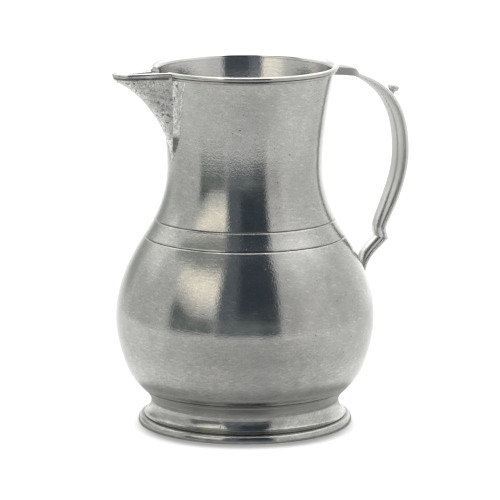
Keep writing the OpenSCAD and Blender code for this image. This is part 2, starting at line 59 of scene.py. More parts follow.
# Table and white room
# A pale table that goes on into a white room. The room's light is even. The table keeps its own soft
# shadow under the foot, which a painted shadow deepens where its glow fades round the foot.
class Shade:
    """An output of a shader's node. Sums on it add Math nodes, and node() adds any other kind."""

    def __init__(self, tree, socket=None):
        self.tree, self.socket = tree, socket

    def node(self, kind, settings=None, sockets=None, out=0):
        made = self.tree.nodes.new("ShaderNode" + kind)
        for name, value in (settings or {}).items():
            setattr(made, name, value)
        for name, value in (sockets or {}).items():
            socket = made.inputs[name]
            if isinstance(value, Shade):
                self.tree.links.new(value.socket, socket)
            elif isinstance(value, tuple) and socket.type == "RGBA":
                socket.default_value = (*value, 1)
            else:
                socket.default_value = value
        return Shade(self.tree, made.outputs[out])

    def sum(self, operation, one, other=0.0):
        return self.node("Math", {"operation": operation}, {0: one, 1: other})

    def __add__(self, other):
        return self.sum("ADD", self, other)

    def __sub__(self, other):
        return self.sum("SUBTRACT", self, other)

    def __rsub__(self, other):
        return self.sum("SUBTRACT", other, self)

    def __mul__(self, other):
        return self.sum("MULTIPLY", self, other)

    __radd__ = __add__

    def size(self):
        return self.sum("ABSOLUTE", self)

    def dot(self, other):
        return self.node("VectorMath", {"operation": "DOT_PRODUCT"}, {0: self, 1: other}, "Value")

    def distance(self, other):
        return self.node("VectorMath", {"operation": "DISTANCE"}, {0: self, 1: other}, "Value")

    def rise(self, low, high):
        """0 below low, 1 above high and a soft step between them; it falls where low is the larger."""
        return self.node("MapRange", {"interpolation_type": "SMOOTHSTEP"},
                         {"Value": self, "From Min": low, "From Max": high})

    def band(self, low, high, soft):
        """1 between low and high, with edges that are soft to both sides."""
        return self.rise(low - soft, low + soft) * self.rise(high + soft, high - soft)

    def towards(self, colour, share):
        """This colour, turned towards another one by a share."""
        return self.node("Mix", {"data_type": "RGBA"}, {0: share, 6: self, 7: colour}, 2)


def finish(name):
    """A new material, and the start of its shader."""
    material = bpy.data.materials.new(name)
    material.use_nodes = True
    material.node_tree.nodes.clear()
    return material, Shade(material.node_tree)


def put_on(shader, tree):
    """Makes a shader the surface of its material."""
    tree.links.new(shader.socket, tree.nodes.new("ShaderNodeOutputMaterial").inputs["Surface"])


def shape(name, points, faces):
    """An object from points in metres and faces."""
    mesh = bpy.data.meshes.new(name)
    mesh.from_pydata(points, [], faces)
    made = bmesh.new()
    made.from_mesh(mesh)
    bmesh.ops.recalc_face_normals(made, faces=made.faces)
    made.to_mesh(mesh)
    made.free()
    thing = bpy.data.objects.new(name, mesh)
    bpy.context.scene.collection.objects.link(thing)
    return thing


def around_view(at):
    """Degrees round the axis from the lens, distance from the axis and height at a place."""
    place = at.node("TexCoord", out="Object")
    across, ahead = place.dot(tuple(right)), place.dot(tuple(front))
    return (at.sum("ARCTAN2", across, ahead) * (180 / math.pi),
            at.sum("SQRT", across * across + ahead * ahead),
            at.node("SeparateXYZ", sockets={0: place}, out="Z"))


# The metal mirrors a dim edge of the table below the dark screens, which stand at screen_r, and a
# glow beside and behind the pitcher. The glow that the lens sees fades round the foot, further in
# front, which paints a shadow there.
table_reach, screen_r = 14, 0.62
seen_glow, beside_glow, near_glow = 0.6, 0.46, 0.14
under_box_span, dark_edge_span = (-66, -27, 2), (11, 30, 2.5)
table_pale, table_dim = (0.66, 0.66, 0.655), (0.10, 0.12, 0.12)
table_white, at = finish("table_white")
round_about, away = around_view(at)[:2]
seen = at.node("LightPath", out="Is Camera Ray")
mirrored = at.node("LightPath", out="Is Glossy Ray")
below_dark = round_about.band(*under_box_span) * 0.75 + round_about.band(*dark_edge_span) * 0.85
far_edge = mirrored * away.rise(screen_r - 0.07, screen_r - 0.01) * below_dark
paper = at.node("Mix", {"data_type": "RGBA"}, {0: far_edge, 6: table_pale, 7: table_dim}, 2)
paper = at.node("BsdfDiffuse", sockets={"Color": paper})
beside = at.sum("MAXIMUM", round_about.size().rise(10, 100), away.rise(0.40, 0.47))
near = away.rise(0.155, 0.11)
side_glow = (beside * beside_glow + near * near_glow) * away.rise(0.078, 0.10)
# Painted shadow: the glow that the lens sees fades in a ring round the foot, wider in front
foot_shade = (away - round_about.size().rise(110, 20) * 0.014).rise(0.054, 0.066)
glow = seen * foot_shade * seen_glow + mirrored * side_glow * (1 - far_edge)
glow = at.node("Emission", sockets={"Color": glow, "Strength": 1.0})
put_on(at.node("AddShader", sockets={0: paper, 1: glow}), at.tree)
corners = [(x * table_reach, y * table_reach, 0) for x, y in ((-1, -1), (1, -1), (1, 1), (-1, 1))]
table = shape("table", corners, [(0, 1, 2, 3)])
table.data.materials.append(table_white)

room = bpy.data.worlds.new("white_room")
room.use_nodes = True
room.node_tree.nodes["Background"].inputs["Color"].default_value = (1, 1, 1, 1)
room.node_tree.nodes["Background"].inputs["Strength"].default_value = 1
bpy.context.scene.world = room

# Screens round the table
# Pale screens that stand round the pitcher and that only its metal shows: a warm soft box at the
# left, the dark gap between the screens where the lens looks in, and a soft light overhead.
middle_z, screen_h, screen_sides = 0.12, 1.1, 96
screen_left, screen_right = (0.76, 0.77, 0.75), (0.94, 0.94, 0.93)
screen_grey, at = finish("screen_grey")
round_about, away, height = around_view(at)
tilt = at.sum("ARCTAN2", height - middle_z, away) * (180 / math.pi)
bright = tilt.rise(20, 48) * (round_about.size().rise(45, 110) * 0.75 + 0.45) + 1
bright = bright * (round_about.size().rise(110, 155) * 0.45 + 1)
screen = at.node("Mix", {"data_type": "RGBA"},
                 {0: round_about.rise(-60, 20), 6: screen_left, 7: screen_right}, 2)
screen = at.node("VectorMath", {"operation": "SCALE"}, {0: screen, "Scale": bright})

# Each part of the screens lies between degrees round the table from the lens, and between heights
# in metres or tilts, which are degrees up from the pitcher's middle
box_top = round_about * 0.0022 + 0.675
under_top = round_about.rise(-44, -66) * 0.10 + 0.175
soft_box = round_about.band(-70, -21, 3) * (height - under_top).rise(0.03, 0.24)
soft_box = soft_box * (box_top - height).rise(-0.02, 0.02)
above_box = round_about.band(-92, -20, 6) * (height - box_top).rise(0.0, 0.05) * tilt.rise(60, 52)
under_box = round_about.band(*under_box_span) * height.rise(0.01, 0.03)
under_box = under_box * (under_top - height).rise(-0.012, 0.012)
gap_right = tilt.rise(10, 45) * 5 + 29.5
gap = round_about.rise(-27, -23) * (gap_right - round_about).rise(-1, 1) * tilt.rise(66, 60)
deep_gap = round_about.rise(-10, -3) * (gap_right + 1 - round_about).rise(-2.5, 2.5)
deep_gap = deep_gap * tilt.band(8, 56, 8)
dark_edge = round_about.band(*dark_edge_span) * tilt.rise(20, 12)
beside_gap = round_about.band(30, 50, 7) * tilt.band(-40, 10, 6)
beside_gap = beside_gap + round_about.band(30, 52, 7) * tilt.band(10, 60, 6) * 0.45
left_edge = round_about.band(-152, -128, 7) * tilt.band(-4, 12, 6)
left_window = round_about.band(-130, -98, 6) * tilt.band(15, 32, 5)
low_gap = (gap + under_box) * height.band(0.088, 0.128, 0.018)
overhead = (tilt - round_about.band(-30, 36, 5) * 9).rise(54, 64)
for colour, share in (
        ((0.50, 0.52, 0.50), left_edge * 0.9),
        ((1.25, 1.25, 1.23), left_window * 0.9),
        ((1.62, 1.53, 1.31), soft_box),
        ((0.42, 0.45, 0.43), above_box),
        ((0.165, 0.20, 0.19), under_box),
        ((0.62, 0.61, 0.60), beside_gap * 0.8),
        ((0.175, 0.205, 0.23), gap),
        ((0.065, 0.085, 0.105), deep_gap),
        ((0.09, 0.11, 0.125), dark_edge),
        ((0.38, 0.40, 0.40), low_gap * 0.85),
        ((2.6, 2.6, 2.55), overhead)):
    screen = screen.towards(colour, share)
put_on(at.node("Emission", sockets={"Color": screen, "Strength": 1.0}), at.tree)


def strips(n, rings, first=0):
    """Faces between rings of n points each that follow one another from a first point."""
    return [(k + i, k + (i + 1) % n, k + n + (i + 1) % n, k + n + i)
            for k in range(first, first + n * (rings - 1), n) for i in range(n)]


turn = [2 * math.pi * i / screen_sides for i in range(screen_sides)]
outline = [(screen_r, 0.0005), (screen_r, screen_h), (screen_r / 2, screen_h * 1.3), (0.002, screen_h * 1.4)]
screens = shape("screens", [(r * math.cos(a), r * math.sin(a), z) for r, z in outline for a in turn],
                strips(screen_sides, len(outline)))
screens.data.materials.append(screen_grey)
screens.visible_camera = screens.visible_diffuse = screens.visible_shadow = False
screens.visible_transmission = screens.visible_volume_scatter = False

# Neck
# Upper casting of pewter, turned on the lathe: a shoulder, a waisted neck and a rim with a bead
# over a small fillet. It is cut open behind the spout.
mm = 0.001
jug_h, wall, seam_gap, solder_w = 216, 2, 0.15, 1.6
belly_d, haunch_d, seat_d, shoulder_d, neck_d, mouth_d = 155.2, 142.8, 124.6, 120.2, 92.8, 106.3
belly_z, haunch_z, shoulder_z, neck_z = 64, 35, 113.8, 155
foot_h, waist_d, waist_z = 21.9, 113, 13.2
upper_line_z, line_w, line_depth = 124.3, 1, 0.5
rim_d, rim_bead_d, rim_fillet_d, fillet_out, lip_round_h = 111.6, 2.7, 1.7, 0.28, 2.6
rim_foot_z = jug_h - rim_bead_d - rim_fillet_d
lip_foot_z = jug_h - lip_round_h
bead_r, fillet_r = rim_bead_d / 2, rim_fillet_d / 2
bead_at = (rim_d / 2 - bead_r, jug_h - bead_r)
fillet_at = (mouth_d / 2 + fillet_out, rim_foot_z + fillet_r)
seat_share, haunch_share, shoulder_share, mouth_share = 3.1, 1.02, 1.9, 1.45
bowl_lean = (belly_d - seat_d) / 2 / (belly_z - foot_h)
body_lean = (neck_d - belly_d) / 2 / (neck_z - belly_z)
mouth_lean = mouth_share * (mouth_d - neck_d) / 2 / (rim_foot_z - neck_z)
# Levels of the body: height, radius and how fast the radius grows
levels = [(waist_z, waist_d / 2, 0), (foot_h, seat_d / 2, seat_share * bowl_lean),
          (haunch_z, haunch_d / 2, haunch_share * bowl_lean), (belly_z, belly_d / 2, 0),
          (shoulder_z, shoulder_d / 2, shoulder_share * body_lean), (neck_z, neck_d / 2, 0),
          (rim_foot_z, mouth_d / 2, mouth_lean)]


def body_r(z):
    """Radius of the body at a height, and how fast it grows there."""
    if z > rim_foot_z:
        return mouth_d / 2 + mouth_lean * (z - rim_foot_z), mouth_lean
    i = max([k for k in range(len(levels) - 1) if z >= levels[k][0]] or [0])
    (za, ra, sa), (zb, rb, sb) = levels[i], levels[i + 1]
    h = zb - za
    t = (z - za) / h
    r = ((1 + 2 * t) * (1 - t) ** 2 * ra + t * (1 - t) ** 2 * h * sa
         + t * t * (3 - 2 * t) * rb + t * t * (t - 1) * h * sb)
    s = 6 * t * (t - 1) * (ra - rb) / h + (1 - t) * (1 - 3 * t) * sa + t * (3 * t - 2) * sb
    return r, s


def inner_r(z, thick=wall):
    """Radius of the inner face at a height, where the wall is as thick as said."""
    r, s = body_r(z)
    return r - thick * math.hypot(1, s)


def steps(a, b, n):
    """Numbers from a to b in n even steps."""
    return [a + (b - a) * i / n for i in range(n + 1)]


def line_cut(z, *heights):
    """Depth that the turned lines take out of the outline at a height."""
    near = min(abs(z - h) for h in heights) / (line_w / 2)
    return line_depth * (1 + math.cos(math.pi * near)) / 2 if near < 1 else 0


def outside(a, b, n, *lines):
    """Outline of the body between two heights, with its turned lines."""
    across_line = [h + line_w / 2 * s for h in lines for s in steps(-1, 1, 8)]
    heights = sorted(set(steps(a, b, n) + [z for z in across_line if a <= z <= b]))
    return [(body_r(z)[0] - (line_cut(z, *lines) if lines else 0), z) for z in heights]


def arc(centre, rx, rz, a, b, n):
    """Points along an ellipse, from one angle to another in degrees."""
    return [(centre[0] + rx * math.cos(math.radians(t)), centre[1] + rz * math.sin(math.radians(t)))
            for t in steps(a, b, n)]


def turned(outline, opening=None, sill=0, around=192, between=12):
    """Points and faces turned round the axis from a closed outline of (radius, height). An opening
    gives half its width at a height, and is cut towards the spout from its sill upwards."""
    points, faces, rows = [], [], []
    for r, z in outline:
        half = math.asin(opening(max(z, sill)) / r) if opening else 0
        count = around + 1 if opening else around
        row = [math.pi + half + (2 * math.pi - 2 * half) * j / around for j in range(count)]
        if opening and z <= sill + 1e-6:
            row += [math.pi - half + 2 * half * i / between for i in range(1, between)]
        rows.append(list(range(len(points), len(points) + len(row))))
        points += [(r * math.cos(a), r * math.sin(a), z) for a in row]
    for k, a in enumerate(rows):
        b = rows[(k + 1) % len(rows)]
        full = min(len(a), len(b)) > around + 1 or not opening
        ring_a, ring_b = (a, b) if full else (a[:around + 1], b[:around + 1])
        count = len(ring_a)
        for j in range(count if full else count - 1):
            n = (j + 1) % count
            faces.append((ring_a[j], ring_a[n], ring_b[n], ring_b[j]))
    if opening:
        at_sill = [k for k, (r, z) in enumerate(outline) if abs(z - sill) < 1e-6]
        low, high = at_sill[0], at_sill[-1]
        for side in (0, around):
            faces.append([rows[k][side] for k in range(low, high + 1)])
        sill_a, sill_b = [rows[k][around:] + [rows[k][0]] for k in (low, high)]
        faces += [(sill_a[i], sill_a[i + 1], sill_b[i + 1], sill_b[i]) for i in range(between)]
    return points, faces


def casting(name, points, faces, material, slot, *nodes, crease=32):
    """A piece from points in millimetres, smooth between its creases, that stands for CAD nodes."""
    piece = shape(name, [Vector(p) * mm for p in points], faces)
    piece.data.shade_smooth()
    piece.data.set_sharp_from_angle(angle=math.radians(crease))
    piece.data.materials.append(material)
    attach(piece, "root")
    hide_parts(*nodes)


def pewter(name, pale, dull, gloss, lines, pits, grain, cast=0.0, tone_and_shade_bands=(), brushed=0.6,
           polished=300, outer=0, matt=None, darker=None, inside=0.0):
    """Old pewter: a soft grey between a pale and a dull tone, mottled, grained and pitted, with the
    fine lines of the lathe or the dimples of the mould. Places are in millimetres. Each band of
    tone and shade is an axis, a place on it, its half width, its share and its tone, and lies
    beyond the radius outer; a band can be painted shade, painted light or a darker tone. The metal
    is polished above a height. It can be more matt by a share from one height to another, darker
    at a point within a distance, and paler inside by a share, which is painted light."""
    pit_black, inside_painted_light, spot_dull = (0.08, 0.08, 0.075), (0.62, 0.61, 0.605), (0.52, 0.52, 0.51)
    material, at = finish(name)
    place = at.node("TexCoord", out="Object")
    x, y, z = [at.node("SeparateXYZ", sockets={0: place}, out=axis) for axis in "XYZ"]
    beyond = at.sum("SQRT", x * x + y * y).rise((outer - 0.4) * mm, (outer + 0.4) * mm)
    worn = z.rise(polished * mm, (polished + 0.5) * mm)

    def point(one, two, three=0.0):
        return at.node("CombineXYZ", sockets={0: one, 1: two, 2: three})

    def mottle(scale, detail, at_place=place):
        return at.node("TexNoise", sockets={"Vector": at_place, "Scale": scale, "Detail": detail,
                                            "Roughness": 0.6})

    def streaks(across, up, detail, height=z):
        """Noise that is drawn out round the axis, as the marks of the lathe are."""
        return mottle(1.0, detail, point(x * across, y * across, height * up))

    blotch, cloud = mottle(26.0, 4.0), mottle(110.0, 3.0)
    dimple, fleck = mottle(520.0, 2.0), mottle(1000.0, 2.0)
    speck = mottle(300.0, 3.0, point(x, y, z * (1 + 1.6 * lines)))
    fine, broad = streaks(24, 900, 2.0), streaks(9, 210, 2.0)
    scratch = streaks(130, 1500, 1.0, z + x * 0.35)
    swirl = streaks(240, 1500, 1.0, z - x * 0.6 - y * 0.3)
    low_belly = z.rise(68 * mm, 50 * mm)
    swirl = (swirl - 0.5) * low_belly * (1.6 * lines)
    pit = mottle(700.0 - 80 * pits, 1.0).rise(0.75 - 0.05 * pits, 0.81 - 0.05 * pits)
    pock = at.node("TexVoronoi", sockets={"Vector": place, "Scale": 95.0}).rise(0.052, 0.03) * lines
    pit = at.sum("MAXIMUM", pit * cloud.rise(0.42, 0.6), pock) * (1 - worn)

    tone = blotch.rise(0.3, 0.7) * 0.45 + cloud.rise(0.3, 0.7) * 0.3 + broad * 0.08 * lines + 0.12
    grains = (fleck * 0.6 + speck * 0.4 - 0.5) * (blotch.rise(0.35, 0.65) * 0.9 + 0.45) * grain
    tone = tone + (fine - 0.5) * (0.24 * lines) + grains * (1 - worn)
    tone = tone + scratch.rise(0.58, 0.70) * lines * speck.rise(0.45, 0.6) + swirl
    colour = at.node("Mix", {"data_type": "RGBA", "clamp_factor": False}, {0: tone, 6: dull, 7: pale}, 2)
    colour = colour.towards(pit_black, pit * 0.8)
    # Bands of painted shade, painted light or darker tone, as the caller gives them
    for axis, middle, half, share, shade in tone_and_shade_bands:
        off = ({"x": x, "z": z}[axis] - middle * mm).size()
        band_mask = off.rise(half * mm, half * mm * 0.4) * beyond * share
        colour = colour.towards((shade, shade, shade * 0.97), band_mask)
    # Painted light: faces that look in towards the axis are paler by the share inside
    inwards = at.node("TexCoord", out="Normal").dot(point(x, y)).rise(0, -10 * mm)
    colour = colour.towards(inside_painted_light, inwards * inside)
    if darker:
        centre, radius = darker
        spot = place.distance(tuple(v * mm for v in centre)).rise(radius * mm, radius * mm * 0.8)
        colour = colour.towards(spot_dull, spot * 0.85)

    rough = gloss + (1 - blotch) * 0.06 + cloud * 0.05 + pit * 0.1 - worn * (gloss * 0.7)
    if matt:
        share, low, high = matt
        rough = rough + z.rise(low * mm, high * mm) * share
    relief = fine * (0.5 * lines) + broad * (0.6 * lines) + cloud * 1.1 + blotch * 3.0 - pit
    relief = (relief + dimple * cast + fleck * (grain * 0.5)) * (1 - worn * 0.85)
    relief = at.node("Bump", sockets={"Strength": 1.0, "Distance": 0.04 * mm, "Height": relief})
    metal = at.node("BsdfPrincipled", sockets={
        "Base Color": colour, "Metallic": 1.0, "Roughness": rough, "Normal": relief,
        "Anisotropic": brushed, "Anisotropic Rotation": 0.25 if brushed else 0.0})
    put_on(metal, at.tree)
    return material


under_bead_z, under_fillet_z = 213.35, 211.45
darkening_black, joint_line = 0.06, ("z", foot_h, 0.5, 0.9, 0.05)
# Painted shade in bands under the rim's bead and under its fillet; painted light in a paler band over the
# bowl just above the foot; darker turned lines and a darker joint with the foot
body_pewter = pewter(
    "body_pewter", (0.475, 0.470, 0.452), (0.345, 0.345, 0.336), gloss=0.08, lines=1.0, pits=0.5, grain=2.6,
    tone_and_shade_bands=(("z", shoulder_z, 0.5, 0.15, darkening_black), ("z", upper_line_z, 0.5, 0.55, darkening_black),
             joint_line, ("z", under_bead_z, 0.35, 0.85, darkening_black),
             ("z", under_fillet_z, 0.25, 0.5, darkening_black), ("z", foot_h + 2.1, 4, 0.4, 0.72)),
    polished=213.4, outer=52.4, inside=0.55)

sill_z = 175.28
gap_halves = [(sill_z, 3.25), (rim_foot_z - 2 * seam_gap, 12.74), (rim_foot_z - seam_gap, 12.0),
              (jug_h, 12.2)]


def mouth_gap(z):
    """Half the width of the opening behind the spout, from its sill to the rim."""
    for (za, wa), (zb, wb) in zip(gap_halves, gap_halves[1:]):
        if z <= zb:
            return wa + (wb - wa) * (z - za) / (zb - za)
    return gap_halves[-1][1]


neck_foot_z = shoulder_z + seam_gap / 2
neck_outline = (
    outside(neck_foot_z, sill_z, 60, shoulder_z, upper_line_z)
    + outside(sill_z, rim_foot_z, 36)[1:]
    + arc(fillet_at, fillet_r, fillet_r, -70, 75, 10)
    + arc(bead_at, bead_r, bead_r, -70, 90, 16)
    + arc((bead_at[0], lip_foot_z), bead_at[0] - inner_r(lip_foot_z), lip_round_h, 98, 180, 12)
    + [(inner_r(z), z) for z in steps(lip_foot_z - line_w, sill_z, 30)]
    + [(inner_r(z), z) for z in steps(sill_z, neck_foot_z + solder_w, 40)[1:]]
    + [(inner_r(neck_foot_z) + solder_w / 2, neck_foot_z)])
casting("neck_casting", *turned(neck_outline, mouth_gap, sill_z), body_pewter, "body_pewter", "neck")

# Bowl
# Lower casting of pewter, turned like the neck and soldered to it at the shoulder, where a line
# is turned over the seam.
bowl_foot_z, bowl_head_z = foot_h + seam_gap, shoulder_z - seam_gap / 2
bowl_outline = (
    outside(bowl_foot_z, bowl_head_z, 110, foot_h, shoulder_z)
    + [(inner_r(bowl_head_z) + solder_w / 2, bowl_head_z)]
    + [(inner_r(z), z) for z in steps(bowl_head_z - solder_w, bowl_foot_z, 60)])
casting("bowl_casting", *turned(bowl_outline), body_pewter, "body_pewter", "bowl")

# Base disc and the solder inside
# Plate of cast pewter that closes the bowl, held by solder above and below. Like the solder inside
# the shoulder it stays a CAD node, and it is dull, since nobody can reach in to polish it.
inside_pewter = pewter("inside_pewter", (0.36, 0.36, 0.35), (0.24, 0.245, 0.24),
                       gloss=0.3, lines=0.4, pits=0.6, grain=0.8)
# The solder is darker from about 163 to 179 mm high and greyer from about 152 to 167 mm, round the spout's
# lower point
solder = pewter("solder", (0.84, 0.83, 0.80), (0.40, 0.40, 0.39), gloss=0.2, lines=0.0, pits=3.2, grain=5.0,
                cast=9.0, brushed=0.0,
                tone_and_shade_bands=(("z", 171.4, 8, 0.88, darkening_black), ("z", 159.5, 7, 0.9, 0.42)))
for node, material in (("base_disc", inside_pewter), ("base_solder", inside_pewter),
                       ("foot_solder", solder), ("shoulder_solder", inside_pewter)):
    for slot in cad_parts[node].material_slots:
        slot.material = material

# Foot ring
# Hollow ring of pewter, turned bright: a flange on the table, a step, a hollow and a flared top
# that meets the bowl in a narrow band.
foot_r, flange_r, ledge_r, crease_r, rest_r = 64.3, 61.34, 60.87, 60.47, 60.9
edge_h, flange_h, ledge_z, band_z, foot_wall = 0.8, 4.8, 5.6, 20.4, 2.4
waist_r = waist_d / 2
hollow_r = waist_r - foot_wall


def band_cut(z):
    """Depth that the two lines of the narrow band take out, below it and at the joint."""
    near = abs(z - band_z) / (line_w / 3)
    return line_depth / 2 * (1 + math.cos(math.pi * near)) / 2 if near < 1 else line_cut(z, foot_h)


def hollow(r, out_r, low_z, a, b, n):
    """Quarter of an ellipse that falls from the waist to a height and runs out to a radius."""
    return [(r + (out_r - r) * (1 - math.cos(math.radians(t))),
             waist_z - (waist_z - low_z) * math.sin(math.radians(t))) for t in steps(a, b, n)]


foot_outline = (
    [(foot_r - 0.5, 0), (foot_r - 0.12, 0.14), (foot_r, 0.45)]
    + arc((flange_r, edge_h), foot_r - flange_r, flange_h - edge_h, 0, 84, 16)
    + [(crease_r + 0.3, flange_h - 0.06), (crease_r + 0.1, flange_h - 0.25),
       (crease_r + 0.2, flange_h + 0.15), (ledge_r + 0.02, ledge_z - 0.2), (ledge_r, ledge_z - 0.02)]
    + hollow(waist_r, ledge_r, ledge_z, 84, 0, 16)
    + [(body_r(z)[0] - band_cut(z), z) for z in steps(waist_z, foot_h, 80)[1:]]
    + [(inner_r(z, foot_wall), z) for z in steps(foot_h, waist_z, 12)]
    + hollow(hollow_r, rest_r, 0, 8, 90, 12))
# Painted shade in the crease over the flange; painted light in a paler band over the flared top; darker lines
# at the narrow band and at the joint with the bowl
foot_pewter = pewter(
    "foot_pewter", (0.48, 0.475, 0.455), (0.33, 0.335, 0.325), gloss=0.06, lines=0.8, pits=0.2, grain=2.0,
    tone_and_shade_bands=(("z", flange_h - 0.1, 0.2, 0.7, darkening_black), ("z", band_z, 0.3, 0.6, darkening_black),
             joint_line, ("z", band_z - 2.4, 4, 0.5, 0.75)),
    matt=(0.2, waist_z - 0.2, band_z - 3.4))
casting("foot_casting", *turned(foot_outline), foot_pewter, "foot_pewter", "foot_ring", crease=40)

# Spout
# Beak of cast pewter that is let into the neck and soldered along both sides. Its lip carries on
# the bead of the rim and swells towards the tip.
spout_h, spout_w, spout_foot_w, spout_foot_t = 54.3, 31, 3, 0.6
spout_reach, spout_wall, lip_drop, lip_bead_out = 82, 1.9, 0.9, 1.6
side_pull, side_width, tip_width, tip_swell, sweep_power = 0.52, 0.73, 0.6, 1.45, 1.9
spout_foot_z, spout_head_z = jug_h - spout_h, rim_foot_z - 2 * seam_gap
rim_seat_r = rim_d / 2 + seam_gap
tip_reach = spout_reach - mouth_d / 2 - spout_foot_t
bead_shift = lip_bead_out - bead_r


def on_skin(y, r):
    """Distance along the middle plane of a point beside it, on a circle round the axis."""
    return math.sqrt(r * r - y * y)


def skin_r(z):
    """Radius that clears the body by the gap of a seam."""
    return body_r(z)[0] + seam_gap


def cubic(p, t):
    """Point of a cubic curve."""
    return tuple((1 - t) ** 3 * a + 3 * t * (1 - t) ** 2 * b + 3 * t * t * (1 - t) * c + t ** 3 * d
                 for a, b, c, d in zip(*p))


def heading(p, t):
    """Direction of a cubic curve."""
    d = [(1 - t) ** 2 * (b - a) + 2 * t * (1 - t) * (c - b) + t * t * (d - c) for a, b, c, d in zip(*p)]
    return tuple(v / math.hypot(*d) for v in d)


def rise_of(z):
    """0 at the spout's lower point and 1 at the rim."""
    return (z - spout_foot_z) / spout_h


def spout_half(z):
    """Half the width of the spout where it meets the neck."""
    return (spout_foot_w + rise_of(z) * (spout_w - spout_foot_w)) / 2


def keel_reach(z):
    """Distance of the keel from the axis at a height, and of the channel inside it."""
    r, s = body_r(z)
    lean = s + sweep_power * tip_reach * rise_of(z) ** (sweep_power - 1) / spout_h
    keel = r + spout_foot_t + tip_reach * rise_of(z) ** sweep_power
    return keel, max(skin_r(z), keel - spout_wall * math.hypot(1, lean))


def beak(z, w, tip):
    """Curve of the beak in plan at a height, from the neck to the tip."""
    root = on_skin(w, skin_r(z))
    return [(root, w), (root + side_pull * (tip - root), side_width * w), (tip, tip_width * w), (tip, 0)]


def nearness(x):
    """How near a point of the lip is to the tip."""
    return max(0, x - rim_seat_r) / (spout_reach - rim_seat_r)


def beak_half(z, share, below, w, tip, out=0, lean=0, n=26):
    """Half a level of the beak: points that stand out from its curve as the bead does."""
    pull = beak(z, w, tip)
    seat = body_r(min(z, rim_foot_z))[0]
    first = 0
    while math.hypot(*cubic(pull, first)) <= seat:
        first += 0.002
    half = []
    for t in steps(first, 1, n):
        p, d = cubic(pull, t), heading(pull, t)
        grow = out + lean * (spout_wall + bead_shift)
        sunk = tip_swell * nearness(p[0]) ** 2 * min(below, rim_bead_d)
        top = jug_h - lip_drop * nearness(p[0]) ** 2 - below - sunk
        half.append((p[0] - grow * d[1], p[1] + grow * d[0], spout_foot_z + share * (top - spout_foot_z)))
    return half


def other_side(points):
    """Points mirrored over the middle plane."""
    return [(x, -y, z) for x, y, z in points]


def beak_level(z, share, below, out=0, lean=0):
    """Level of the beak: along its outer face to the tip and back, then along the channel."""
    w = spout_half(z)
    keel, channel = keel_reach(z)
    outer = beak_half(z, share, below, w, keel, out)
    inner = beak_half(z, share, below, max(w / 2, w - spout_wall), channel, 0, lean)
    return outer + other_side(outer)[-2::-1] + other_side(inner) + inner[-2::-1]


def skinned(rings):
    """Points and faces over rings of the same number of points, closed by strips at both ends."""
    n = len(rings[0])
    faces = strips(n, len(rings))
    for end in (0, (len(rings) - 1) * n):
        faces += [(end + i, end + i + 1, end + n - 2 - i, end + n - 1 - i) for i in range(n // 2 - 1)]
    return [p for ring in rings for p in ring], faces


def turned_back(points):
    """Points turned from the handle's side of the axis to the spout's."""
    return [(-x, -y, z) for x, y, z in points]


head_drop = jug_h - spout_head_z
beak_rings = [beak_level(spout_foot_z + s * (spout_head_z - spout_foot_z), s, head_drop)
              for s in steps(0, 1, 36)]
beak_rings += [beak_level(jug_h - below, 1, below)
               for below in (head_drop - seam_gap, (head_drop + rim_bead_d) / 2)]
for a in [math.radians(v) for v in steps(-90, 84, 14)]:
    below = bead_r * (1 - math.sin(a))
    lean = max(0, 1 - below / lip_round_h)
    beak_rings.append(beak_level(jug_h - below, 1, below, bead_shift + bead_r * math.cos(a),
                                 1 - math.sqrt(1 - lean * lean)))
points, faces = skinned(beak_rings)
# Painted shade: a dark band just under the bead of the lip
spout_pewter = pewter(
    "spout_pewter", (0.76, 0.755, 0.735), (0.36, 0.36, 0.35), gloss=0.2, lines=0.15, pits=3.2, grain=4.4,
    cast=7.0, brushed=0.0, tone_and_shade_bands=(("z", 212.4, 1.0, 0.8, darkening_black),), polished=213.2, outer=55.6)
casting("spout_casting", turned_back(points), faces, spout_pewter, "spout_pewter", "spout")

# Solder along the spout
# Bright pewter solder, wiped hot along both sides of the spout and round its lower point, and
# left rough.
point_w, flank_w, head_w, climb = 0.6, 3.4, 5.5, 0.5
hollow_share = 0.3


def wiped(name, rows, *nodes, back=False, rough=0.3, across=9):
    """A run of wiped solder. Each row gives the foot of the piece, the outer edge of the solder and
    its height on the piece; the run goes on over the middle plane."""
    rings = []
    for a, b, c in rows + [tuple(other_side(row)) for row in rows[-2::-1]]:
        sunk = [hollow_share * p + (1 - hollow_share) * (q + r) / 2 for p, q, r in zip(a, b, c)]
        ring = []
        for t in steps(0, 1, across):
            p = Vector([(1 - t) ** 2 * v + 2 * t * (1 - t) * (2 * h - (v + w) / 2) + t * t * w
                        for v, h, w in zip(c, sunk, b)])
            lump = noise.noise(p * 0.35) + 0.6 * noise.noise(p * 0.9)
            outwards = Vector((p.x, p.y, 0)).normalized()
            ring.append(tuple(p + outwards * (rough * lump * 4 * t * (1 - t) + 0.04)))
        rings.append(ring + [b, a])
    points, faces = skinned(rings)
    casting(name, turned_back(points) if back else points, faces, solder, "solder", *nodes, crease=50)


def skin_point(y, z):
    """Point of the solder's underside, just clear of the body."""
    return (on_skin(y, body_r(z)[0] + 0.02), y, z)


def solder_row(y, z, outer_y, outer_z, lift):
    """Row of solder from the foot of a piece, at y and z, out over the body and up the piece."""
    root = skin_point(y, z)
    return (root, skin_point(outer_y, outer_z), (root[0] + lift, y, z))


